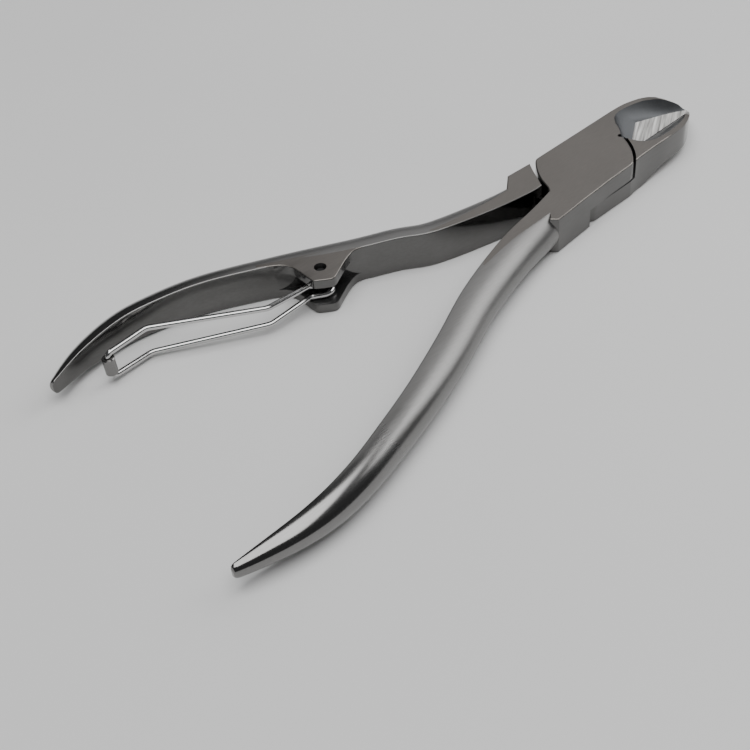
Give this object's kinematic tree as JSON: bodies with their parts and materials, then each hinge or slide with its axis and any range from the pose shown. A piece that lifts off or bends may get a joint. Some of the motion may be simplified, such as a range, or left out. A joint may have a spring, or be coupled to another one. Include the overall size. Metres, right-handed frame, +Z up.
{
  "type": "sprue nippers",
  "caption": "Small steel cutting nippers: two lap-jointed levers with hollow-ground flush jaws, bowed handles and a folding wire return spring.",
  "frame": {"origin": "on the pivot axis, at the flat underside of the head", "axes": "+X towards the jaw tips along the closed parting line, +Y towards the handle that carries the spring, +Z up along the pivot axis"},
  "size_m": [0.1303, 0.0596, 0.0072],
  "materials": {
    "lever_steel": "satin stainless steel, handles polished",
    "pin_steel": "turned steel",
    "wire_steel": "bright polished spring steel"
  },
  "bodies": {
    "upper": {"upper_lever": "lever_steel", "pivot_rivet": "pin_steel"},
    "lower": {"lower_lever": "lever_steel", "spring_pin": "pin_steel"},
    "spring": {"spring_wire": "wire_steel"},
    "roller": {"spring_roller": "wire_steel"}
  },
  "joints": [
    {"name": "lever_pivot", "type": "hinge", "parent": "upper", "child": "lower", "pos_m": [0, 0, 0], "axis": [0, 0, 1], "range_deg": [-22, 0]},
    {"name": "spring_swing", "type": "hinge", "parent": "lower", "child": "spring", "pos_m": [-0.0532, 0.0128, 0.0036], "axis": [0, 0, 1], "range_deg": [-4, 60]},
    {"name": "roller_spin", "type": "hinge", "parent": "spring", "child": "roller", "pos_m": [-0.0895, 0.0228, 0.0036], "axis": [0, 0, 1], "continuous": true}
  ]
}
